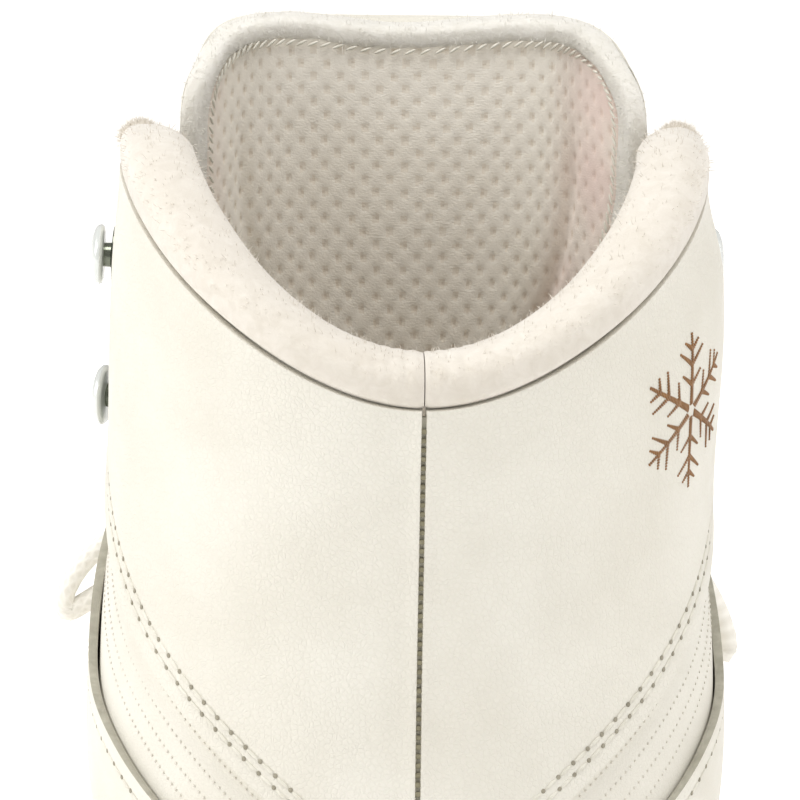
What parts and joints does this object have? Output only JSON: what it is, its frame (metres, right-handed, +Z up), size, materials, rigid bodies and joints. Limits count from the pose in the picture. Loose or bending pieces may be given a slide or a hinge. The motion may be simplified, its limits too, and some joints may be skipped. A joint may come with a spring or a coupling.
{
  "type": "figure skate",
  "caption": "White laced leather figure skate boot for the right foot on a steel blade with two mounting plates, toe picks, a padded collar and a flexing tongue.",
  "frame": {"origin": "on the ice under the middle of the skate: the centre of its box, without the loose lace, at the blade's lowest point", "axes": "+Y towards the toe, +Z up, +X to the right of the wearer, who looks along +Y"},
  "size_m": [0.111, 0.275, 0.2649],
  "materials": {
    "blade_chrome": "mirror-bright nickel chrome",
    "plate_chrome": "bright chrome, a little satin",
    "screw_brass": "bright, with a cross slot",
    "sole_leather": "polished tan sole leather",
    "heel_leather": "stacked leather lifts, polished",
    "lift_rubber": "matt black",
    "shank_steel": "plain spring steel, hidden",
    "insole_fibre": "pressed fibre, hidden",
    "footbed_fabric": "soft cream cloth over foam",
    "stiffener": "moulded fibre, hidden",
    "upper_leather": "white full-grain leather",
    "cuff_leather": "white full-grain leather, fine grain",
    "overlay_leather": "white leather with a grey cut edge",
    "seam_strip": "grey-olive thread in the seam",
    "foam": "open foam, hidden",
    "lining_mesh": "cream knitted mesh",
    "tongue_mesh": "cream spacer mesh with dimples",
    "collar_suede": "soft microfibre suede over foam",
    "tongue_leather": "soft white leather",
    "tongue_felt": "off-white felt binding",
    "hook_metal": "pale enamel over nickel",
    "eyelet_metal": "nickel plate",
    "lace_cotton": "white braided cotton",
    "aglet_metal": "clear-white plastic tip"
  },
  "bodies": {
    "skate": {"blade_runner": "blade_chrome", "toe_stanchion": "plate_chrome", "heel_stanchion": "plate_chrome", "toe_plate": "plate_chrome", "heel_plate": "plate_chrome", "toe_screws": "screw_brass", "heel_screws": "screw_brass", "outsole": "sole_leather", "heel": "heel_leather", "heel_lift": "lift_rubber", "shank": "shank_steel", "insole_board": "insole_fibre", "footbed": "footbed_fabric", "quarter_left": "upper_leather", "quarter_right": "upper_leather", "vamp": "upper_leather", "toe_puff": "stiffener", "heel_counter": "stiffener", "cuff_left": "cuff_leather", "cuff_right": "cuff_leather", "overlay_left": "overlay_leather", "overlay_right": "overlay_leather", "back_seam": "seam_strip", "ankle_foam_left": "foam", "ankle_foam_right": "foam", "ankle_lining_left": "lining_mesh", "ankle_lining_right": "lining_mesh", "collar_left": "collar_suede", "collar_right": "collar_suede", "tongue_base": "tongue_leather", "hooks_left": "hook_metal", "hooks_right": "hook_metal", "eyelets_left": "eyelet_metal", "eyelets_right": "eyelet_metal", "lace_left": "lace_cotton", "lace_right": "lace_cotton", "lace_knot": "lace_cotton", "bow_left": "lace_cotton", "bow_right": "lace_cotton", "lace_end_left": "lace_cotton", "lace_end_right": "lace_cotton", "aglets": "aglet_metal"},
    "tongue": {"tongue_cover": "tongue_leather", "tongue_foam": "foam", "tongue_lining": "tongue_mesh", "tongue_binding": "tongue_felt"}
  },
  "joints": [
    {"name": "tongue_flex", "type": "hinge", "parent": "skate", "child": "tongue", "pos_m": [0, -0.0289, 0.1852], "axis": [-1, 0, 0], "range_deg": [-3, 35]}
  ]
}
